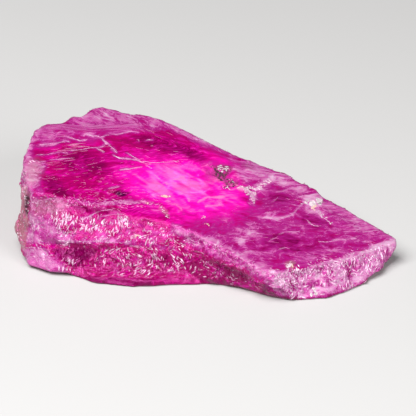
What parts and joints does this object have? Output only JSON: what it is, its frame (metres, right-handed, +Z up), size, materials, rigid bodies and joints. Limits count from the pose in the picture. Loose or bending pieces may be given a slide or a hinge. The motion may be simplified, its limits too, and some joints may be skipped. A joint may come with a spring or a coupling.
{
  "type": "rough sapphire crystal",
  "caption": "Rough pink sapphire crystal: a broken flat plate, thick at one end and thin at the tip, that lies loose on its flat underside.",
  "frame": {"origin": "middle of the plan box, on the flat underside that the crystal lies on", "axes": "+X along the length towards the thin tip, +Y to the back, +Z up"},
  "size_m": [0.0158, 0.0112, 0.0038],
  "materials": {
    "sapphire": "see-through pink to magenta crystal, smooth on the top face, sugary and chipped on the sides"
  },
  "bodies": {
    "root": {"crystal": "sapphire"}
  },
  "joints": []
}
